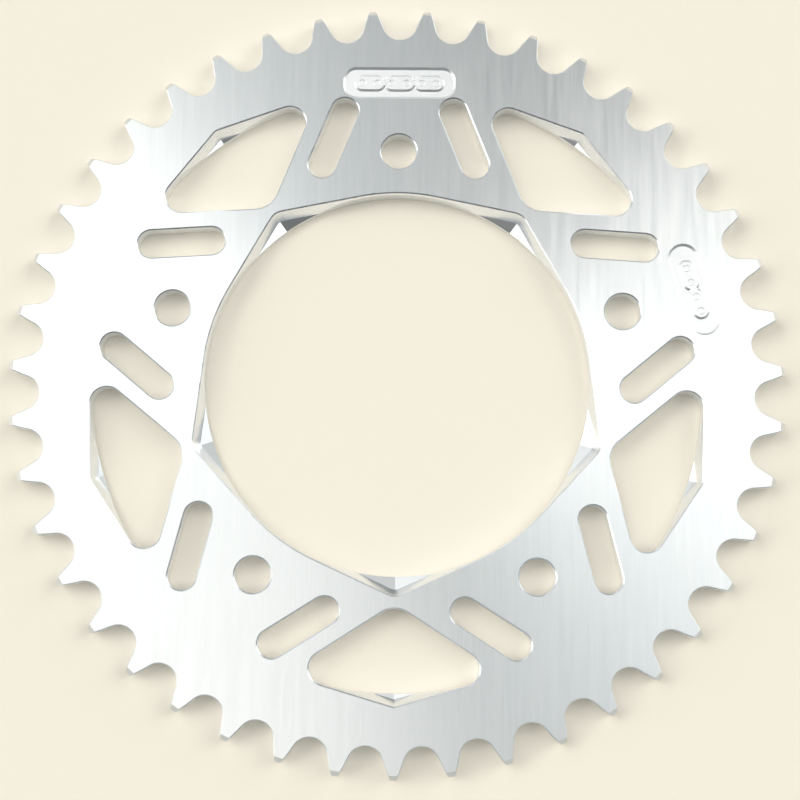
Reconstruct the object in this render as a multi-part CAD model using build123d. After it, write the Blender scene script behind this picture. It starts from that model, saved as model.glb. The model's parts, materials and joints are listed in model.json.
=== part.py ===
"""Rear chain sprocket, machined from one aluminium plate.

Frame: origin at the centre of the bore on the back face, +Z out of the labelled face,
+Y towards the tooth gap above the wide label pocket, +X to its right. Units are mm.
"""
import os
from math import acos, cos, degrees, hypot, radians, sin, sqrt, tan

from build123d import *

# Chain: 5/8 inch pitch, 1/4 inch inner width, 10.16 mm rollers
TOOTH_COUNT = 43
CHAIN_PITCH = 15.875
ROLLER_DIA = 10.16
SEATING_RADIUS = 0.505 * ROLLER_DIA
SEATING_ANGLE = 140.0 - 90.0 / TOOTH_COUNT
FLANK_RADIUS = 0.12 * ROLLER_DIA * (TOOTH_COUNT + 2)
FIRST_GAP_ANGLE = 90.0

# Plate
THICKNESS = 6.0
TIP_DIA = 225.6
TIP_CHAMFER_RADIAL = 1.4
TIP_CHAMFER_AXIAL = 1.3
EDGE_BREAK = 0.3

# Bolt circle
BOLT_COUNT = 5
BOLT_CIRCLE_DIA = 138.0
BOLT_HOLE_DIA = 10.5
FIRST_BOLT_ANGLE = 90.0
STEP_ANGLE = 360.0 / BOLT_COUNT

# Stepped relief milled into the front around the bore and the windows
STEP_DEPTH = 3.8
STEP_RUN = 2.2
STEP_TAPER = degrees(acos(STEP_DEPTH / hypot(STEP_DEPTH, STEP_RUN)))

# Bore: a round hole, with a five-cornered relief on the front
BORE_DIA = 112.0
RELIEF_RADIUS = 56.65
RELIEF_ARC_HALF_ANGLE = 11.5
RELIEF_CORNER_RADIUS = 5.0

# Windows, one between each pair of bolts, in a frame whose X axis is the window axis
WINDOW_OUTER_DISTANCE = 89.2
WINDOW_OUTER_ANGLE = 16.1
WINDOW_INNER_APEX = 63.3
WINDOW_INNER_SLOPE = 0.64
WINDOW_OUTER_CORNER = 2.5
WINDOW_SIDE_CORNER = 5.2
WINDOW_INNER_CORNER = 7.5
WINDOW_ARC_RADIUS = 89.0

# Slots, two beside each bolt, in a frame whose X axis is the bolt axis
SLOT_WIDTH = 8.3
SLOT_INNER_END = (65.0, 22.55)
SLOT_OUTER_END = (81.2, 16.1)

# Label pockets and the plain chain-link relief on their floors
LABEL_DEPTH = 0.6
LABEL_RELIEF = 0.45
WIDE_LABEL_SIZE = (33.4, 9.7)
WIDE_LABEL_CENTRE = 90.05
WIDE_LABEL_CORNER = 4.0
WIDE_LABEL_ANGLE = 90.0
LONG_LABEL_SIZE = (28.2, 9.1)
LONG_LABEL_CENTRE = 90.9
LONG_LABEL_ANGLE = 18.0
LINK_PITCH = 4.4
LINK_HOLE_DIA = 1.6
LINK_END_DIA = 4.8

PITCH_RADIUS = CHAIN_PITCH / (2.0 * sin(radians(180.0 / TOOTH_COUNT)))
MARGIN = 1.0


def polar(radius, angle):
    """Point at a radius and an angle in degrees about the sprocket's axis."""
    return Vector(radius * cos(radians(angle)), radius * sin(radians(angle)))


def around(count, first):
    """Equally spaced angles in degrees, starting at first."""
    return [first + index * 360.0 / count for index in range(count)]


def turned(shape, angle):
    """Shape turned about the sprocket's axis."""
    return shape.rotate(Axis.Z, angle)


def flank_points(gap_angle, side):
    """Start, middle and end of the flank on one side of a tooth gap, root to tip."""
    roller = polar(PITCH_RADIUS, gap_angle)
    outward = gap_angle + 180.0 + side * SEATING_ANGLE / 2.0
    direction = polar(1.0, outward)
    root = roller + direction * SEATING_RADIUS
    pivot = roller + direction * (SEATING_RADIUS + FLANK_RADIUS)
    tip = circle_crossing(pivot, FLANK_RADIUS, TIP_DIA / 2.0, root)
    chord = (root + tip) * 0.5 - pivot
    middle = pivot + chord.normalized() * FLANK_RADIUS
    return root, middle, tip


def circle_crossing(centre, radius, origin_radius, near):
    """Crossing of a circle with one about the origin that is nearer a point."""
    distance = centre.length
    along = (distance**2 + origin_radius**2 - radius**2) / (2.0 * distance)
    across = sqrt(origin_radius**2 - along**2)
    unit = centre.normalized()
    normal = Vector(-unit.Y, unit.X)
    choices = [unit * along + normal * across, unit * along - normal * across]
    return min(choices, key=lambda point: (point - near).length)


def toothed_outline():
    """Outline of the tooth ring: seating arcs, flanks and tip arcs."""
    edges = []
    gaps = around(TOOTH_COUNT, FIRST_GAP_ANGLE)
    half_gap = 180.0 / TOOTH_COUNT
    for gap in gaps:
        right = flank_points(gap, 1.0)
        left = flank_points(gap, -1.0)
        bottom = polar(PITCH_RADIUS - SEATING_RADIUS, gap)
        next_tip = flank_points(gap + 2.0 * half_gap, 1.0)[2]
        crest = polar(TIP_DIA / 2.0, gap + half_gap)
        edges.append(ThreePointArc(right[2], right[1], right[0]))
        edges.append(ThreePointArc(right[0], bottom, left[0]))
        edges.append(ThreePointArc(left[0], left[1], left[2]))
        edges.append(ThreePointArc(left[2], crest, next_tip))
    return make_face(Wire(edges))


def tip_chamfer(face_height, inward):
    """Ring that bevels the tooth tips at one face; inward is +1 or -1 along Z."""
    inner = TIP_DIA / 2.0 - TIP_CHAMFER_RADIAL
    outer = TIP_DIA / 2.0 + MARGIN
    depth = TIP_CHAMFER_AXIAL * (outer - inner) / TIP_CHAMFER_RADIAL
    corners = [(inner, face_height), (outer, face_height), (outer, face_height + inward * depth)]
    profile = Plane.XZ * make_face(Polyline(*corners, close=True))
    return revolve(profile, Axis.Z, 360.0)


def through(sketch):
    """Solid of a sketch that runs past both faces."""
    return extrude(Pos(0, 0, -MARGIN) * sketch, amount=THICKNESS + 2.0 * MARGIN)


def front_bevel(sketch, depth, taper):
    """Tapered pocket cut down from the front face."""
    return extrude(Pos(0, 0, THICKNESS) * sketch, amount=-depth, taper=taper)


def back_bevel(sketch, depth, taper):
    """Tapered pocket cut up from the back face."""
    return extrude(sketch, amount=depth, taper=taper)


def kite(centre_line, half_angles, distances, corners):
    """Rounded four-sided outline from its outer and inner edge pairs."""
    outer_distance, inner_distance = distances
    outer_angle, inner_angle = half_angles
    outer_apex = outer_distance / cos(radians(outer_angle))
    inner_apex = inner_distance / cos(radians(inner_angle))
    rise = outer_apex - inner_apex
    side = rise / (tan(radians(outer_angle)) + tan(radians(inner_angle)))
    side_u = outer_apex - side * tan(radians(outer_angle))
    points = [(outer_apex, 0), (side_u, side), (inner_apex, 0), (side_u, -side)]
    outline = make_face(Polyline(*points, close=True))
    ordered = outline.vertices().sort_by(Axis.X)
    outline = fillet([ordered[-1]], corners[0])
    outline = fillet(outline.vertices().sort_by(lambda v: abs(abs(v.Y) - side))[:2], corners[1])
    outline = fillet([outline.vertices().sort_by(Axis.X)[0]], corners[2])
    return turned(outline, centre_line)


def window_outline(angle, inset):
    """Window edge as seen on the front face, brought in by an inset."""
    inner_angle = degrees(acos(1.0 / hypot(1.0, WINDOW_INNER_SLOPE)))
    inner_distance = WINDOW_INNER_APEX * cos(radians(inner_angle)) + inset
    distances = (WINDOW_OUTER_DISTANCE - inset, inner_distance)
    corners = (WINDOW_OUTER_CORNER - inset, WINDOW_SIDE_CORNER - inset, WINDOW_INNER_CORNER - inset)
    return kite(angle, (WINDOW_OUTER_ANGLE, inner_angle), distances, corners)


def window_cut(angle):
    """Window: a through hole under an arc, and the stepped relief at its outer edge."""
    hole = window_outline(angle, EDGE_BREAK) & Circle(WINDOW_ARC_RADIUS)
    rim = window_outline(angle, 0.0) & Circle(WINDOW_ARC_RADIUS + EDGE_BREAK)
    relief = front_bevel(window_outline(angle, 0.0), STEP_DEPTH, STEP_TAPER)
    return [through(hole), relief, back_bevel(rim, EDGE_BREAK, 45.0)]


def relief_outline():
    """Five-cornered front outline of the bore: arcs at the bolts, straight runs between."""
    edges = []
    half_step = STEP_ANGLE / 2.0
    corner = RELIEF_RADIUS / cos(radians(half_step - RELIEF_ARC_HALF_ANGLE))
    for bolt in around(BOLT_COUNT, FIRST_BOLT_ANGLE):
        start = polar(RELIEF_RADIUS, bolt - RELIEF_ARC_HALF_ANGLE)
        end = polar(RELIEF_RADIUS, bolt + RELIEF_ARC_HALF_ANGLE)
        apex = polar(corner, bolt + half_step)
        following = polar(RELIEF_RADIUS, bolt + STEP_ANGLE - RELIEF_ARC_HALF_ANGLE)
        edges.append(ThreePointArc(start, polar(RELIEF_RADIUS, bolt), end))
        edges.append(Line(end, apex))
        edges.append(Line(apex, following))
    outline = make_face(Wire(edges))
    tips = outline.vertices().sort_by(lambda vertex: -hypot(vertex.X, vertex.Y))[:BOLT_COUNT]
    return fillet(tips, RELIEF_CORNER_RADIUS)


def bore_cut():
    """Bore, its five-cornered relief on the front and its edge break on the back."""
    hole = through(Circle(BORE_DIA / 2.0))
    relief = front_bevel(relief_outline(), STEP_DEPTH, STEP_TAPER)
    rim = back_bevel(Circle(BORE_DIA / 2.0 + EDGE_BREAK), EDGE_BREAK, 45.0)
    return [hole, relief, rim]


def bolt_cut(angle):
    """One bolt hole with both edges broken."""
    place = Pos(*polar(BOLT_CIRCLE_DIA / 2.0, angle))
    hole = through(place * Circle(BOLT_HOLE_DIA / 2.0))
    rim = place * Circle(BOLT_HOLE_DIA / 2.0 + EDGE_BREAK)
    return [hole, front_bevel(rim, EDGE_BREAK, 45.0), back_bevel(rim, EDGE_BREAK, 45.0)]


def slot_sketch(side, width):
    """Round-ended slot on one side of the bolt on the X axis."""
    inner = Vector(SLOT_INNER_END[0], side * SLOT_INNER_END[1])
    outer = Vector(SLOT_OUTER_END[0], side * SLOT_OUTER_END[1])
    run = outer - inner
    middle = (inner + outer) * 0.5
    lean = degrees(acos(run.X / run.length)) * (-side)
    return Pos(middle.X, middle.Y) * Rot(0, 0, lean) * SlotCenterToCenter(run.length, width)


def slot_cut(angle, side):
    """One slot beside a bolt, with both edges broken."""
    hole = through(turned(slot_sketch(side, SLOT_WIDTH), angle))
    rim = turned(slot_sketch(side, SLOT_WIDTH + 2.0 * EDGE_BREAK), angle)
    return [hole, front_bevel(rim, EDGE_BREAK, 45.0), back_bevel(rim, EDGE_BREAK, 45.0)]


def label_place(distance, angle):
    """Location of a label's centre, its long side square to the radius."""
    return Rot(0, 0, angle - 90.0) * Pos(0, distance, THICKNESS - LABEL_DEPTH)


def chain_relief(link_count):
    """Row of plain chain links, centred on the origin."""
    relief = Sketch()
    first = -LINK_PITCH * (link_count - 1) / 2.0
    for index in range(link_count):
        place = Pos(first + index * LINK_PITCH, 0)
        if index % 2 == 0:
            relief += place * SlotCenterToCenter(LINK_PITCH, LINK_END_DIA)
        else:
            relief += place * Rectangle(LINK_PITCH, LINK_END_DIA * 0.5)
    for index in range(link_count + 1):
        pin = Pos(first + (index - 0.5) * LINK_PITCH, 0)
        relief -= pin * Circle(LINK_HOLE_DIA / 2.0)
    return relief


def label_cut(outline, distance, angle, link_count):
    """Shallow label pocket with a raised chain on its floor."""
    place = label_place(distance, angle)
    pocket = extrude(place * outline, amount=LABEL_DEPTH + MARGIN)
    return pocket - extrude(place * chain_relief(link_count), amount=LABEL_RELIEF)


def sprocket():
    """The whole plate."""
    plate = extrude(toothed_outline(), amount=THICKNESS)
    plate -= [tip_chamfer(THICKNESS, -1.0), tip_chamfer(0.0, 1.0)]
    plate -= bore_cut()
    for angle in around(BOLT_COUNT, FIRST_BOLT_ANGLE):
        plate -= bolt_cut(angle)
        plate -= slot_cut(angle, 1.0) + slot_cut(angle, -1.0)
        plate -= window_cut(angle + STEP_ANGLE / 2.0)
    wide = RectangleRounded(*WIDE_LABEL_SIZE, WIDE_LABEL_CORNER)
    long = SlotOverall(*LONG_LABEL_SIZE)
    plate -= label_cut(wide, WIDE_LABEL_CENTRE, WIDE_LABEL_ANGLE, 5)
    plate -= label_cut(long, LONG_LABEL_CENTRE, LONG_LABEL_ANGLE, 3)
    return plate.solids()[0]


def main():
    """Write the part's one solid."""
    os.makedirs("parts", exist_ok=True)
    solid = sprocket()
    solid.label = "sprocket"
    export_step(solid, "parts/sprocket.step")
    box = solid.bounding_box()
    print("volume cm3", round(solid.volume / 1000.0, 2), "valid", solid.is_valid)
    print("size", round(box.size.X, 3), round(box.size.Y, 3), round(box.size.Z, 3))


if __name__ == "__main__":
    main()
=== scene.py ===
# %% [markdown]
# # A rear sprocket, cut from one plate
#
# This lesson makes the rear sprocket of a motorcycle the way a machine shop does. A round
# blank is turned, then cutters go round it: one for the tooth gaps, one for the bolt holes,
# one for the slots and so on. In Blender a cutter is a closed mesh, "going round" is a small
# Geometry Nodes tree, and "cutting" is that tree's Mesh Boolean node.
#
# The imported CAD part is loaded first. It fixes where everything is, so the finished plate
# has to fill the same box.

# %% Load the frame
import json
import math
from math import cos, degrees, hypot, pi, radians, sin, tan

import bmesh
import bpy
from mathutils import Matrix, Vector

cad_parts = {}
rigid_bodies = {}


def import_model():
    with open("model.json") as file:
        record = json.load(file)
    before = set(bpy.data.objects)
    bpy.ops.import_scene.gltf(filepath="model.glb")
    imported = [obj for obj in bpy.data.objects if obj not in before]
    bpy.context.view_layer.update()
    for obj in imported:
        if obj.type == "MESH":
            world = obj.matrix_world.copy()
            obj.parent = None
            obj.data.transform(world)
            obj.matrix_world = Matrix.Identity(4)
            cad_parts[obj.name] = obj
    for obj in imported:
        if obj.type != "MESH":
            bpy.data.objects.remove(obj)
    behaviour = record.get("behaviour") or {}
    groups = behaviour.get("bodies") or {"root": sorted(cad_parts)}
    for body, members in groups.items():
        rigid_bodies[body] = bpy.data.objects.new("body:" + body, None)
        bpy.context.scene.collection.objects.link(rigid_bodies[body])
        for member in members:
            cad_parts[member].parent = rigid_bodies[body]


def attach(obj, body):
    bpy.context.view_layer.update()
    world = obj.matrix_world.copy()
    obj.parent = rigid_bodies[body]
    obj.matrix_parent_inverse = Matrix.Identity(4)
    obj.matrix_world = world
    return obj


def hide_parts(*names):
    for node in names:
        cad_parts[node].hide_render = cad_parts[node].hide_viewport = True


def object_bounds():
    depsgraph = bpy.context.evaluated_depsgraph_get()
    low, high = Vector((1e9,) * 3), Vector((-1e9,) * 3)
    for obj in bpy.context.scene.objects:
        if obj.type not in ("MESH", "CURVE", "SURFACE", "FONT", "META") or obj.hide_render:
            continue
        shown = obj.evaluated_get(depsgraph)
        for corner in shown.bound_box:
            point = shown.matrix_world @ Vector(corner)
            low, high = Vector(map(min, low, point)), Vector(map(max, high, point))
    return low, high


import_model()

cad_low, cad_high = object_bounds()
print("CAD box in mm:", [round(1000 * (b - a), 2) for a, b in zip(cad_low, cad_high)])

# %% [markdown]
# ## The sizes
#
# A chain sprocket follows a rule. The chain's pitch and the number of teeth give the pitch
# circle, on which the chain's rollers sit, and the roller gives the shape of each gap. The
# rest of the plate is laid out on circles about the same centre. Lengths are in millimetres
# up to the moment a mesh is made.

# %% Sizes of the plate
MM = 0.001
TEETH = 43
CHAIN_PITCH = 15.875
ROLLER = 10.16
PITCH_RADIUS = CHAIN_PITCH / (2 * sin(pi / TEETH))
THICKNESS = 1000 * cad_high.z
TIP_RADIUS = 112.8
EDGE_BREAK = 0.35
EDGE_SLOPE = 0.85
BOLTS = 5
STEP = 360 / BOLTS
print("pitch circle radius", round(PITCH_RADIUS, 2), "thickness", round(THICKNESS, 2))

# %% [markdown]
# ## Outlines
#
# Every cutter starts as an outline: a closed list of points, anticlockwise. Arcs are divided
# by how far their flat sides may stray from the true arc, so a big bore gets many points and
# a small corner gets few.

# %% Helpers for outlines
STRAY = 0.004


def polar(radius, angle):
    return Vector((radius * cos(radians(angle)), radius * sin(radians(angle))))


def arc(centre, radius, start, end):
    """Points along an arc, both ends included; angles in degrees."""
    step = 2 * degrees(math.acos(1 - STRAY / radius))
    count = max(2, math.ceil(abs(end - start) / step))
    return [centre + polar(radius, start + (end - start) * i / count) for i in range(count + 1)]


def rounded(corners, radii):
    """A polygon whose corners are replaced by arcs of the given radii."""
    points = []
    for index, corner in enumerate(corners):
        before = (corners[index - 1] - corner).normalized()
        after = (corners[(index + 1) % len(corners)] - corner).normalized()
        half = before.angle(after) / 2
        centre = corner + (before + after).normalized() * (radii[index] / sin(half))
        first = corner + before * (radii[index] / tan(half)) - centre
        last = corner + after * (radii[index] / tan(half)) - centre
        start = degrees(math.atan2(first.y, first.x))
        sweep = (degrees(math.atan2(last.y, last.x)) - start + 180) % 360 - 180
        points += arc(centre, radii[index], start, start + sweep)
    return points


def circle(radius, centre=Vector((0, 0))):
    return arc(centre, radius, 0, 360)[:-1]


def grown(points, distance):
    """The outline moved outwards by a distance, kept parallel to itself."""
    result = []
    for index, point in enumerate(points):
        before = (point - points[index - 1]).normalized()
        after = (points[(index + 1) % len(points)] - point).normalized()
        normals = Vector((before.y, -before.x)), Vector((after.y, -after.x))
        miter = (normals[0] + normals[1]) / (1 + normals[0].dot(normals[1]))
        result.append(point + miter * distance)
    return result


print("a 56 mm bore takes", len(circle(56.0)), "points")

# %% [markdown]
# ## From outline to cutter
#
# A milling cutter leaves a wall with a small bevel at each face. So a cutter's mesh is a
# stack: the same outline at several heights, each grown or shrunk by some distance, joined
# by walls and closed at both ends. A bevel is EDGE_BREAK wide, and EDGE_SLOPE says how high
# it is for its width.

# %% Stack of outlines
OVER = 1.0


def stack(name, outlines, levels):
    """Closed mesh object of one or more outlines at (height, growth) levels, lowest first."""
    mesh = bpy.data.meshes.new(name)
    form = bmesh.new()
    for outline in outlines:
        rings = []
        for height, growth in levels:
            ring = grown(outline, growth)
            rings.append([form.verts.new((x * MM, y * MM, height * MM)) for x, y in ring])
        form.faces.new(list(reversed(rings[0])))
        form.faces.new(rings[-1])
        for lower, upper in zip(rings, rings[1:]):
            for index in range(len(lower)):
                after = (index + 1) % len(lower)
                form.faces.new((lower[index], lower[after], upper[after], upper[index]))
    bmesh.ops.recalc_face_normals(form, faces=form.faces)
    form.to_mesh(mesh)
    form.free()
    thing = bpy.data.objects.new(name, mesh)
    bpy.context.scene.collection.objects.link(thing)
    return thing


def through(width=EDGE_BREAK, over=OVER):
    """Levels of a cut right through the plate that bevels both of its edges."""
    height = width * EDGE_SLOPE
    return [
        (-over, width + over / EDGE_SLOPE),
        (height, 0),
        (THICKNESS - height, 0),
        (THICKNESS + over, width + over / EDGE_SLOPE),
    ]


# %% [markdown]
# ## The blank
#
# The blank is a disc as wide as the tips of the teeth, with a bevel turned on both rims.
# That bevel is what later gives every tooth its sloped tip.

# %% Turned blank
TIP_BEVEL = 1.4
TIP_BEVEL_HEIGHT = 1.3
plate = stack("sprocket_plate", [circle(TIP_RADIUS - TIP_BEVEL)], [
    (0, 0),
    (TIP_BEVEL_HEIGHT, TIP_BEVEL),
    (THICKNESS - TIP_BEVEL_HEIGHT, TIP_BEVEL),
    (THICKNESS, 0),
])
print("blank:", len(plate.data.vertices), "points")

# %% [markdown]
# ## The tooth gap
#
# One gap is a bit more than a third of a circle for the roller, then two long flanks that
# bulge slightly towards the gap. The cutter runs a little past the tips, but not so far
# that it would touch its neighbours when 43 of them stand round the blank.

# %% Tooth gap cutter
SEATING_RADIUS = 0.505 * ROLLER
SEATING_ANGLE = 140 - 90 / TEETH
FLANK_RADIUS = 0.12 * ROLLER * (TEETH + 2)
TOOTH_EDGE = 0.25


def gap_outline():
    """Outline of a tooth gap on the X axis."""
    roller = Vector((PITCH_RADIUS, 0))
    half = SEATING_ANGLE / 2
    seat = arc(roller, SEATING_RADIUS, 180 - half, 180 + half)
    pivot = roller + polar(SEATING_RADIUS + FLANK_RADIUS, 180 + half)
    lower = [pivot + polar(FLANK_RADIUS, half)]
    while lower[-1].length < TIP_RADIUS + 0.5:
        lower.append(pivot + polar(FLANK_RADIUS, half - len(lower)))
    upper = [Vector((point.x, -point.y)) for point in reversed(lower[1:])]
    return upper + seat + lower[1:]


gap_cutter = stack("gap_cutter", [gap_outline()], through(TOOTH_EDGE, 0.2))
print("tooth gap:", len(gap_outline()), "points")

# %% [markdown]
# ## Bolt holes and slots
#
# These are laid out for one fifth of the plate, with the bolt on the X axis. One cutter
# holds three separate shapes, because they always go round together.

# %% Bolt hole and slot cutter
BOLT_CIRCLE = 69.0
BOLT_HOLE = 5.25
SLOT_RADIUS = 4.15
SLOT_ENDS = Vector((65.0, 22.55)), Vector((81.2, 16.1))


def slot(inner, outer, radius):
    """Round-ended slot between two centres."""
    along = outer - inner
    lean = degrees(math.atan2(along.y, along.x))
    return arc(outer, radius, lean - 90, lean + 90) + arc(inner, radius, lean + 90, lean + 270)


bolt_group = [circle(BOLT_HOLE, Vector((BOLT_CIRCLE, 0)))]
for side in (1, -1):
    ends = [Vector((end.x, side * end.y)) for end in SLOT_ENDS]
    bolt_group.append(slot(ends[0], ends[1], SLOT_RADIUS))
bolt_cutter = stack("bolt_cutter", bolt_group, through())
print("bolt hole and two slots:", sum(len(shape) for shape in bolt_group), "points")

# %% [markdown]
# ## Windows
#
# The windows lie halfway between two bolts, here on the X axis. Each has a plain through
# cut under an arch, and a wider, shallower cut with sloping sides. Where the shallow cut
# reaches past the arch it leaves a sloped band and a small ledge. The through cut stays a
# little inside the other's edge, because two cutters whose walls coincide leave open edges.

# %% Window cutters
RELIEF_DEPTH = 3.8
RELIEF_RUN = 2.2
RELIEF = [
    (THICKNESS - RELIEF_DEPTH, -RELIEF_RUN),
    (THICKNESS - EDGE_BREAK * EDGE_SLOPE, -EDGE_BREAK),
    (THICKNESS + OVER, OVER / EDGE_SLOPE),
]
OUTER_EDGE = 89.2
OUTER_LEAN = 16.1
INNER_APEX = 63.3
INNER_SLOPE = 0.64
ARCH_RADIUS = 89.0
WINDOW_INSET = 0.42


def kite(inset):
    """Four-sided rounded edge of a window on the front face, brought in by a distance."""
    inner = INNER_APEX + inset * hypot(1, INNER_SLOPE)
    outer = (OUTER_EDGE - inset) / cos(radians(OUTER_LEAN))
    width = (outer - inner) / (tan(radians(OUTER_LEAN)) + INNER_SLOPE)
    shoulder = inner + INNER_SLOPE * width
    corners = [Vector((outer, 0)), Vector((shoulder, width))]
    corners += [Vector((inner, 0)), Vector((shoulder, -width))]
    return rounded(corners, [2.5 - inset, 5.2 - inset, 7.5 - inset, 5.2 - inset])


def arched_kite(inset):
    """The kite with its outer corner cut back to a circle about the plate's centre."""
    reach = OUTER_LEAN - degrees(math.acos((OUTER_EDGE - inset) / ARCH_RADIUS))
    kept = [point for point in kite(inset) if point.length < ARCH_RADIUS]
    return arc(Vector((0, 0)), ARCH_RADIUS, -reach, reach) + kept


window_cutter = stack("window_cutter", [arched_kite(WINDOW_INSET)], [
    (-OVER, EDGE_BREAK + OVER),
    (EDGE_BREAK, 0),
    (THICKNESS + OVER, 0),
])
window_relief = stack("window_relief", [kite(0)], RELIEF)
print("window:", len(arched_kite(WINDOW_INSET)), "points")

# %% [markdown]
# ## The bore
#
# The bore is round at the back, where it sits on the wheel. At the front the same kind of
# shallow cut turns it into a five-cornered shape, round beside the bolts and straight
# between them.

# %% Bore cutters
BORE_RADIUS = 56.0
COLLAR_RADIUS = 56.65
COLLAR_HALF_ANGLE = 11.5
COLLAR_CORNER = 5.0


def collar():
    """Five-cornered front edge of the bore, with its corners between the bolts."""
    corner_run = STEP / 2 - COLLAR_HALF_ANGLE
    apex = COLLAR_RADIUS / cos(radians(corner_run))
    points = []
    for index in range(BOLTS):
        bolt_angle = 90 + index * STEP
        before = polar(COLLAR_RADIUS, bolt_angle + COLLAR_HALF_ANGLE)
        after = polar(COLLAR_RADIUS, bolt_angle + STEP - COLLAR_HALF_ANGLE)
        corner = polar(apex, bolt_angle + STEP / 2)
        bend = rounded([before, corner, after], [0.01, COLLAR_CORNER, 0.01])
        points += arc(
            Vector((0, 0)),
            COLLAR_RADIUS,
            bolt_angle - COLLAR_HALF_ANGLE,
            bolt_angle + COLLAR_HALF_ANGLE,
        )
        points += [point for point in bend if (point - corner).length < COLLAR_CORNER]
    return points


bore_cutter = stack("bore_cutter", [circle(BORE_RADIUS)], [
    (-OVER, EDGE_BREAK + OVER),
    (EDGE_BREAK, 0),
    (THICKNESS + OVER, 0),
])
bore_relief = stack("bore_relief", [collar()], RELIEF)
print("bore relief:", len(collar()), "points")

# %% [markdown]
# ## Label pockets
#
# Two shallow pockets carry a raised pattern. Here it is a plain row of chain links. The
# pattern is metal that the cutter leaves standing, so it is taken out of the pocket's
# cutter before the cutter is used. A first small node tree does that: it sets links and
# pins along a line, and takes the links out of the pocket but not their pin holes.

# %% Pocket, link and pin meshes
LABEL_DEPTH = 0.6
PATTERN_HEIGHT = 0.45
LINK_PITCH = 4.4
LINK_END = 2.4
PIN_HOLE = 0.8
FLOOR = THICKNESS - LABEL_DEPTH
POCKET = [(FLOOR, -0.7), (THICKNESS + OVER, 0.7 * OVER / LABEL_DEPTH)]
STANDING = [(FLOOR - 0.45, 0.75), (FLOOR + PATTERN_HEIGHT, -0.45)]
PIN = [(FLOOR - 0.45, -0.3), (FLOOR + PATTERN_HEIGHT + 0.45, 0.6)]


def bar(half_width, half_length):
    """Rectangle on the origin, longer along Y."""
    corners = [(half_width, -half_length), (half_width, half_length)]
    corners += [(-half_width, half_length), (-half_width, -half_length)]
    return [Vector(corner) for corner in corners]


def shifted(points, distance):
    return [point + Vector((distance, 0)) for point in points]


link_end = Vector((0, LINK_PITCH / 2))
link = stack("link", [slot(-link_end, link_end, LINK_END)], STANDING)
pin = stack("pin", [circle(PIN_HOLE)], PIN)
print("link:", len(link.data.vertices), "points, pin:", len(pin.data.vertices))

# %% Helpers for building node trees
def new_tree(name, sockets):
    """Geometry tree with a geometry input and output and the named extra inputs."""
    tree = bpy.data.node_groups.new(name, "GeometryNodeTree")
    tree.interface.new_socket("Geometry", in_out="OUTPUT", socket_type="NodeSocketGeometry")
    tree.interface.new_socket("Geometry", in_out="INPUT", socket_type="NodeSocketGeometry")
    for title, kind in sockets:
        tree.interface.new_socket(title, in_out="INPUT", socket_type="NodeSocket" + kind)
    entry = tree.nodes.new("NodeGroupInput")
    leave = tree.nodes.new("NodeGroupOutput")
    return tree, entry.outputs, leave.inputs["Geometry"]


def add(tree, kind, settings=None, **links):
    """New node with settings on it and its inputs linked or set by name."""
    node = tree.nodes.new(kind)
    for key, value in (settings or {}).items():
        setattr(node, key, value)
    for key, value in links.items():
        socket = node.inputs[key.replace("_", " ")]
        if isinstance(value, bpy.types.NodeSocket):
            tree.links.new(value, socket)
        else:
            socket.default_value = value
    return node


def math_node(tree, operation, first, second):
    """Output of a Math node with two inputs."""
    node = tree.nodes.new("ShaderNodeMath")
    node.operation = operation
    for socket, value in zip(node.inputs, (first, second)):
        if isinstance(value, bpy.types.NodeSocket):
            tree.links.new(value, socket)
        else:
            socket.default_value = value
    return node.outputs[0]


def run_tree(thing, tree, **values):
    """Adds the tree to an object as a modifier, with its inputs set by identifier."""
    modifier = thing.modifiers.new(tree.name, "NODES")
    modifier.node_group = tree
    for item in tree.interface.items_tree:
        key = item.name.lower().replace(" ", "_")
        if item.in_out == "INPUT" and key in values:
            modifier[item.identifier] = values.pop(key)
    assert not values, values


def baked(thing):
    """Replaces an object's mesh with what its modifiers make of it."""
    graph = bpy.context.evaluated_depsgraph_get()
    result = bpy.data.meshes.new_from_object(thing.evaluated_get(graph), depsgraph=graph)
    thing.modifiers.clear()
    thing.data = result
    return thing


# %% Tree that leaves a row of links standing
row_tree, given, result = new_tree("leave_a_chain_standing", [
    ("Link", "Object"),
    ("Bar", "Object"),
    ("Pin", "Object"),
    ("Link Count", "Int"),
    ("Pin Count", "Int"),
    ("Pitch", "Float"),
    ("Place", "Float"),
    ("Finish", "Material"),
])


def row_of(shape, count, spacing):
    """Copies of an object in a row along Y, centred on the pocket."""
    gaps = math_node(row_tree, "SUBTRACT", given[count], 1)
    reach = math_node(row_tree, "MULTIPLY", gaps, spacing)
    start = math_node(row_tree, "MULTIPLY", reach, -0.5)
    origin = add(row_tree, "ShaderNodeCombineXYZ", X=given["Place"], Y=start)
    offset = add(row_tree, "ShaderNodeCombineXYZ", Y=spacing)
    line = add(
        row_tree,
        "GeometryNodeMeshLine",
        Count=given[count],
        Start_Location=origin.outputs[0],
        Offset=offset.outputs[0],
    )
    source = add(row_tree, "GeometryNodeObjectInfo", Object=given[shape])
    copies = add(
        row_tree,
        "GeometryNodeInstanceOnPoints",
        Points=line.outputs[0],
        Instance=source.outputs["Geometry"],
    )
    return add(row_tree, "GeometryNodeRealizeInstances", Geometry=copies.outputs[0]).outputs[0]


def combine(tree, operation, first, *others):
    """Mesh Boolean node; the first mesh is the one that others are taken from."""
    node = add(tree, "GeometryNodeMeshBoolean", {"operation": operation, "solver": "EXACT"})
    node.inputs["Self Intersection"].default_value = operation == "UNION"
    if operation == "DIFFERENCE":
        tree.links.new(first, node.inputs["Mesh 1"])
    else:
        others = (first, *others)
    for other in others:
        tree.links.new(other, node.inputs["Mesh 2"])
    return node.outputs["Mesh"]


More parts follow.
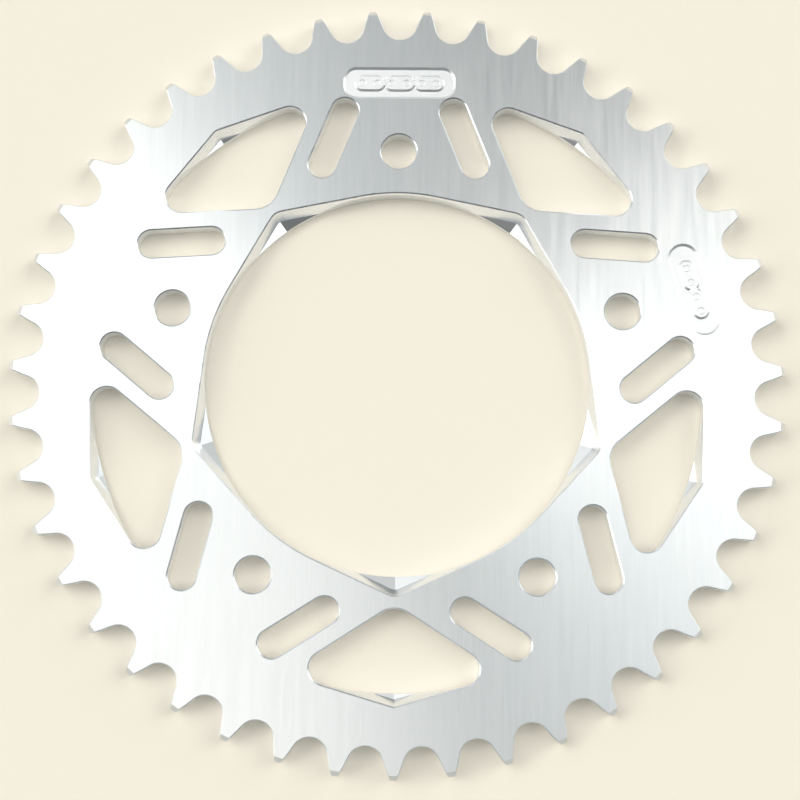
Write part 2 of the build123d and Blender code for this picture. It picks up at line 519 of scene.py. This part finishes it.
spacing = math_node(row_tree, "MULTIPLY", given["Pitch"], 2)
links = row_of("Link", "Link Count", spacing)
pins = row_of("Pin", "Pin Count", given["Pitch"])
spine = add(row_tree, "GeometryNodeObjectInfo", Object=given["Bar"]).outputs["Geometry"]
chain = combine(row_tree, "UNION", links, spine)
chain = combine(row_tree, "DIFFERENCE", chain, pins)
pocket_left = combine(row_tree, "DIFFERENCE", given["Geometry"], chain)
real = add(row_tree, "GeometryNodeRealizeInstances", Geometry=pocket_left)
ended = add(
    row_tree, "GeometryNodeSetMaterial", Geometry=real.outputs[0], Material=given["Finish"]
)
row_tree.links.new(ended.outputs[0], result)
print("chain tree:", len(row_tree.nodes), "nodes")

# %% [markdown]
# ## Going round
#
# The second tree is the milling machine. It makes as many copies of a cutter as it is told,
# turned evenly about the plate's axis, and takes them all out of the plate at once. The
# new walls carry the finish the cutter was given. The last node gives the two flat faces
# of the plate their own finish, found by height.

# %% Tree that cuts round the axis
round_tree, given, result = new_tree("cut_round_the_axis", [
    ("Cutter", "Object"),
    ("Copies", "Int"),
    ("First Angle", "Float"),
    ("Cut Finish", "Material"),
    ("Face Finish", "Material"),
    ("Plate Height", "Float"),
])
points = add(round_tree, "GeometryNodePoints", Count=given["Copies"])
turn = math_node(round_tree, "DIVIDE", 2 * pi, given["Copies"])
which = add(round_tree, "GeometryNodeInputIndex").outputs[0]
angle = math_node(round_tree, "MULTIPLY", which, turn)
first_angle = math_node(round_tree, "RADIANS", given["First Angle"], 0)
angle = math_node(round_tree, "ADD", angle, first_angle)
euler = add(round_tree, "ShaderNodeCombineXYZ", Z=angle)
tool = add(round_tree, "GeometryNodeObjectInfo", Object=given["Cutter"])
tool = add(
    round_tree,
    "GeometryNodeSetMaterial",
    Geometry=tool.outputs["Geometry"],
    Material=given["Cut Finish"],
)
copies = add(
    round_tree,
    "GeometryNodeInstanceOnPoints",
    Points=points.outputs[0],
    Instance=tool.outputs[0],
    Rotation=euler.outputs[0],
)
copies = add(round_tree, "GeometryNodeRealizeInstances", Geometry=copies.outputs[0])
cut = combine(round_tree, "DIFFERENCE", given["Geometry"], copies.outputs[0])
real = add(round_tree, "GeometryNodeRealizeInstances", Geometry=cut)
place = add(round_tree, "GeometryNodeInputPosition").outputs[0]
height = add(round_tree, "ShaderNodeSeparateXYZ", Vector=place).outputs["Z"]
half_height = math_node(round_tree, "MULTIPLY", given["Plate Height"], 0.5)
off_middle = math_node(round_tree, "SUBTRACT", height, half_height)
off_middle = math_node(round_tree, "ABSOLUTE", off_middle, 0)
nearly = math_node(round_tree, "MULTIPLY", half_height, 0.9999)
on_face = math_node(round_tree, "GREATER_THAN", off_middle, nearly)
ended = add(
    round_tree,
    "GeometryNodeSetMaterial",
    Geometry=real.outputs[0],
    Selection=on_face,
    Material=given["Face Finish"],
)
round_tree.links.new(ended.outputs[0], result)
print("milling tree:", len(round_tree.nodes), "nodes")

# %% [markdown]
# ## Finishes
#
# The plate is bare aluminium with several kinds of surface. The flat faces were turned and
# then brushed: turning leaves rings too fine to see that smear every reflection outwards
# from the centre, and brushing leaves faint straight lines along Y. The milled walls are
# smoother, with marks that follow the cutter. The turned tips are a little duller, and the
# label pockets are milled bright.
#
# The ledges are flat in the mesh. Their finish tilts the shading a little towards the hole,
# by a slope of LEDGE_DIP, and by up to UPPER_DIP more on the +Y side. Those two numbers were
# chosen for how light and dark the halves of a ledge look.
#
# All patterns read Object coordinates, so they stay put on the metal in every view.

# %% Helpers for materials
def new_material(name):
    """Material with only a Principled shader, and its node tree."""
    material = bpy.data.materials.new(name)
    material.use_nodes = True
    tree = material.node_tree
    shader = next(node for node in tree.nodes if node.type == "BSDF_PRINCIPLED")
    return material, tree, shader


def object_coordinates(tree, scale=(1, 1, 1), turn=0.0):
    """Object coordinates in millimetres, stretched and turned about Z."""
    source = add(tree, "ShaderNodeTexCoord").outputs["Object"]
    mapping = add(tree, "ShaderNodeMapping", Vector=source)
    mapping.inputs["Scale"].default_value = [1000 * s for s in scale]
    mapping.inputs["Rotation"].default_value = (0, 0, radians(turn))
    return mapping.outputs["Vector"]


def noise(tree, vector, scale=1.0, detail=2.0, roughness=0.5):
    """Grey noise pattern."""
    node = add(tree, "ShaderNodeTexNoise", Vector=vector, Scale=scale, Detail=detail)
    node.inputs["Roughness"].default_value = roughness
    return node.outputs["Fac"]


def between(tree, factor, low, high, start=0.0, end=1.0):
    """Maps start..end of a pattern onto low..high."""
    node = add(tree, "ShaderNodeMapRange", Value=factor)
    for name, value in zip(("From Min", "From Max", "To Min", "To Max"), (start, end, low, high)):
        node.inputs[name].default_value = value
    return node.outputs[0]


def shade_between(tree, factor, dark, light):
    """Colour between two colours by a pattern."""
    node = add(tree, "ShaderNodeMix", {"data_type": "RGBA"})
    tree.links.new(factor, node.inputs["Factor"])
    node.inputs["A"].default_value = (*dark, 1)
    node.inputs["B"].default_value = (*light, 1)
    return next(o for o in node.outputs if o.type == "RGBA")


# %% Brushed face
def brushed_face():
    material, tree, shader = new_material("brushed_aluminium_face")
    shader.inputs["Metallic"].default_value = 1.0
    shader.inputs["Anisotropic"].default_value = 0.7
    outward = add(tree, "ShaderNodeTexCoord").outputs["Object"]
    outward = add(tree, "ShaderNodeVectorMath", {"operation": "NORMALIZE"}, Vector=outward)
    tree.links.new(outward.outputs[0], shader.inputs["Tangent"])
    fine = noise(tree, object_coordinates(tree, (3.0, 0.06, 1)), detail=3)
    broad = noise(tree, object_coordinates(tree, (0.5, 0.03, 1)), detail=2)
    streaks = math_node(tree, "ADD", fine, broad)
    tree.links.new(between(tree, streaks, 0.31, 0.39, 0.7, 1.3), shader.inputs["Roughness"])
    colour = shade_between(
        tree, between(tree, streaks, 0, 1, 0.7, 1.3), (0.81, 0.825, 0.82), (0.88, 0.89, 0.88)
    )
    tree.links.new(colour, shader.inputs["Base Color"])
    bump = add(tree, "ShaderNodeBump", Height=fine, Strength=0.15, Distance=0.00002)
    tree.links.new(bump.outputs["Normal"], shader.inputs["Normal"])
    return material


# %% Ledges
LEDGE_DIP = 0.14
UPPER_DIP = 0.38


def ledge_surface():
    """Milled in two passes that meet at the corner, each dipping a little towards the hole."""
    material, tree, shader = new_material("milled_aluminium_ledge")
    shader.inputs["Metallic"].default_value = 1.0
    shader.inputs["Base Color"].default_value = (0.90, 0.91, 0.90, 1)
    shader.inputs["Roughness"].default_value = 0.3
    place = add(tree, "ShaderNodeTexCoord").outputs["Object"]
    place = add(tree, "ShaderNodeSeparateXYZ", Vector=place)
    angle = math_node(tree, "ARCTAN2", place.outputs["Y"], place.outputs["X"])
    first = radians(90 + STEP / 2)
    corner = math_node(tree, "SUBTRACT", angle, first)
    corner = math_node(tree, "DIVIDE", corner, radians(STEP))
    corner = math_node(tree, "ROUND", corner, 0)
    corner = math_node(tree, "MULTIPLY", corner, radians(STEP))
    corner = math_node(tree, "ADD", corner, first)
    side = math_node(tree, "SIGN", math_node(tree, "SUBTRACT", angle, corner), 0)
    across = math_node(tree, "MULTIPLY", side, radians(STEP / 2 - COLLAR_HALF_ANGLE))
    across = math_node(tree, "ADD", corner, across)
    x = math_node(tree, "COSINE", across, 0)
    y = math_node(tree, "SINE", across, 0)
    dip = math_node(tree, "MULTIPLY", math_node(tree, "MAXIMUM", y, 0), -UPPER_DIP)
    dip = math_node(tree, "SUBTRACT", dip, LEDGE_DIP)
    x = math_node(tree, "MULTIPLY", x, dip)
    y = math_node(tree, "MULTIPLY", y, dip)
    dipped = add(tree, "ShaderNodeCombineXYZ", X=x, Y=y, Z=1.0)
    dipped = add(tree, "ShaderNodeVectorMath", {"operation": "NORMALIZE"}, Vector=dipped.outputs[0])
    tree.links.new(dipped.outputs[0], shader.inputs["Normal"])
    return material


# %% Milled walls, bevels and pocket floors
def milled(name, dark, light, roughness, scale):
    material, tree, shader = new_material(name)
    shader.inputs["Metallic"].default_value = 1.0
    marks = noise(tree, object_coordinates(tree, scale), detail=2)
    tree.links.new(shade_between(tree, marks, dark, light), shader.inputs["Base Color"])
    low, high = roughness
    tree.links.new(between(tree, marks, low, high, 0.3, 0.7), shader.inputs["Roughness"])
    bump = add(tree, "ShaderNodeBump", Height=marks, Strength=0.2, Distance=0.00002)
    tree.links.new(bump.outputs["Normal"], shader.inputs["Normal"])
    return material


face_finish = brushed_face()
ledge_finish = ledge_surface()
wall_finish = milled(
    "milled_aluminium_wall", (0.91, 0.93, 0.96), (0.95, 0.97, 1.0), (0.25, 0.38), (0.3, 0.3, 6)
)
tip_finish = milled(
    "turned_aluminium_tip", (0.78, 0.79, 0.80), (0.88, 0.89, 0.90), (0.3, 0.42), (1, 1, 4)
)
pocket_finish = milled(
    "bright_milled_pocket", (0.95, 0.96, 0.96), (0.98, 0.98, 0.98), (0.4, 0.46), (0.3, 2, 2)
)

# %% [markdown]
# ## Cutting the plate
#
# Now the blank gets one modifier for each milling operation, in the order a shop would use.
# The two label cutters are made first, each by running the chain tree on a plain pocket.

# %% Label cutters
WIDE_LABEL = 90.05
LONG_LABEL = 90.9
label_corners = [Vector((4.85 * a, 16.7 * b)) for a, b in ((1, -1), (1, 1), (-1, 1), (-1, -1))]
wide_shape = shifted(rounded(label_corners, [4.0] * 4), WIDE_LABEL)
long_end = Vector((0, 9.55))
long_shape = shifted(slot(-long_end, long_end, 4.55), LONG_LABEL)
label_cutters = []
for title, shape, centre, link_count in (
    ("wide_label", wide_shape, WIDE_LABEL, 3),
    ("long_label", long_shape, LONG_LABEL, 2),
):
    spine_length = LINK_PITCH * (link_count - 0.5)
    cutter = stack(title, [shape], POCKET)
    bar_object = stack(title + "_bar", [shifted(bar(1.2, spine_length), centre)], STANDING)
    run_tree(
        cutter,
        row_tree,
        link=link,
        bar=bar_object,
        pin=pin,
        link_count=link_count,
        pin_count=2 * link_count,
        pitch=LINK_PITCH * MM,
        place=centre * MM,
        finish=pocket_finish,
    )
    label_cutters.append(baked(cutter))
    print(title, "cutter:", len(cutter.data.polygons), "faces")

# %% Mill the plate
plate.data.materials.append(tip_finish)
window_angle = 90 + STEP / 2
for cutter, copies, first, finish in (
    (gap_cutter, TEETH, 90, wall_finish),
    (bore_cutter, 1, 0, wall_finish),
    (bore_relief, 1, 0, wall_finish),
    (bolt_cutter, BOLTS, 90, wall_finish),
    (window_cutter, BOLTS, window_angle, wall_finish),
    (window_relief, BOLTS, window_angle, wall_finish),
    (label_cutters[0], 1, 90, pocket_finish),
    (label_cutters[1], 1, 18, pocket_finish),
):
    run_tree(
        plate,
        round_tree,
        cutter=cutter,
        copies=copies,
        first_angle=float(first),
        cut_finish=finish,
        face_finish=face_finish,
        plate_height=THICKNESS * MM,
    )
baked(plate)
print("plate:", len(plate.data.polygons), "faces", [m.name for m in plate.data.materials])

# %% [markdown]
# ## The ledges
#
# The ledges are the only faces that look up from deep inside the plate, so they are found by
# their height, below the floors of the label pockets.

# %% Give the ledges their own finish
LEDGE_MARGIN = 0.5
plate.data.materials.append(ledge_finish)
ledge_index = len(plate.data.materials) - 1
ledges = 0
for face in plate.data.polygons:
    if face.normal.z > 0.9 and face.center.z < (FLOOR - LEDGE_MARGIN) * MM:
        face.material_index = ledge_index
        ledges += 1
print("ledge faces:", ledges)

# %% Clear the tools away
for thing in list(bpy.context.scene.collection.all_objects):
    if thing.type == "MESH" and thing.name.split(".")[0] in {
        "gap_cutter", "bore_cutter", "bore_relief", "bolt_cutter", "window_cutter",
        "window_relief", "wide_label", "wide_label_bar", "long_label", "long_label_bar",
        "link", "pin",
    }:
        bpy.data.objects.remove(thing)

# %% [markdown]
#
# A cut solid should be closed, so the open edges are counted: the number has to be 0. Then
# the round walls are smoothed, and every edge that turns by more than 20 degrees stays sharp.

# %% Smooth the round walls
SHARP_ANGLE = 20
form = bmesh.new()
form.from_mesh(plate.data)
open_edges = sum(not edge.is_manifold for edge in form.edges)
print("open edges:", open_edges, "volume in cm3:", round(form.calc_volume() * 1e6, 2))
form.free()
for face in plate.data.polygons:
    face.use_smooth = True
plate.data.set_sharp_from_angle(angle=radians(SHARP_ANGLE))

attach(plate, "root")
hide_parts("sprocket")

# %% [markdown]
# ## Floor, light and camera
#
# The floor is a plain cream plane, large enough that its edge doesn't show in a low view. It
# lies a hair below the plate, so the two don't share a surface.

# %% Floor
bpy.ops.mesh.primitive_plane_add(size=40, location=(0, 0, -0.00005))
floor = bpy.context.object
floor.name = "floor"
material, tree, shader = new_material("cream_floor")
shader.inputs["Base Color"].default_value = (0.95, 0.89, 0.765, 1)
shader.inputs["Roughness"].default_value = 0.8
floor.data.materials.append(material)

# %% [markdown]
# Turned metal smears a reflection outwards from the centre, so each part of the ring shows
# what stands in its own direction. Softboxes stand to the left, to the right and towards the
# top, and weaker ones hang overhead. Few stand straight above the top edge and none in front,
# and those two gaps make the two grey fans. The softboxes are far away, so each one is a sun
# lamp with a wide disc: its light falls the same on the whole floor.
#
# The room is dim overhead and pale near the horizon, so the flat faces don't turn black when
# the plate is seen from low down.

# %% Lights
WARM = (1.0, 0.985, 0.95)
COOL = (0.93, 0.98, 1.0)


def softbox(azimuth, from_zenith, width, power, colour):
    """Distant soft light; its direction and width are in degrees."""
    light = bpy.data.lights.new("softbox", "SUN")
    light.angle = radians(width)
    light.energy = power
    light.color = colour
    box = bpy.data.objects.new("softbox", light)
    flat = polar(sin(radians(from_zenith)), azimuth)
    towards = Vector((flat.x, flat.y, cos(radians(from_zenith))))
    box.rotation_euler = towards.to_track_quat("Z", "Y").to_euler()
    bpy.context.scene.collection.objects.link(box)


softbox(0, 18, 30, 0.22, COOL)
softbox(135, 18, 30, 0.19, COOL)
softbox(225, 18, 30, 0.40, WARM)
softbox(0, 40, 35, 0.31, WARM)
softbox(30, 40, 35, 0.37, WARM)
softbox(150, 40, 35, 0.74, WARM)
softbox(30, 62, 40, 0.74, WARM)
softbox(120, 62, 40, 0.24, WARM)
softbox(180, 62, 40, 0.87, WARM)

# %% Room
OVERHEAD = 0.1
HORIZON = 0.7
world = bpy.data.worlds.new("studio")
world.use_nodes = True
tree = world.node_tree
background = tree.nodes["Background"]
background.inputs["Color"].default_value = (0.88, 0.96, 1.0, 1)
direction = add(tree, "ShaderNodeTexCoord").outputs["Generated"]
rise = add(tree, "ShaderNodeSeparateXYZ", Vector=direction).outputs["Z"]
strength = between(tree, rise, HORIZON, OVERHEAD, 0.05, 0.3)
tree.links.new(strength, background.inputs["Strength"])
bpy.context.scene.world = world

# %% [markdown]
# ## The camera
#
# A long lens looks down on the plate, leaning a little from straight above. Its place and
# direction are fixed numbers, so the same picture comes out every time.

# %% Camera
CAMERA_PLACE = Vector((3.01, -70.46, 453.59 + 6.0)) * MM
LOOK = Vector((-0.00443, 0.14229, -0.98982)).normalized()
UP = Vector((-0.00817, 0.98979, 0.14232)).normalized()
camera_data = bpy.data.cameras.new("camera")
camera_data.lens = 71.37
camera_data.sensor_width = 36
camera_data.clip_start = 0.01
camera = bpy.data.objects.new("camera", camera_data)
right = LOOK.cross(UP).normalized()
axes = Matrix((right, right.cross(LOOK), -LOOK)).transposed()
camera.matrix_world = Matrix.Translation(CAMERA_PLACE) @ axes.to_4x4()
bpy.context.scene.collection.objects.link(camera)
bpy.context.scene.camera = camera

view = bpy.context.scene.view_settings
view.view_transform = "Standard"
view.look = "None"
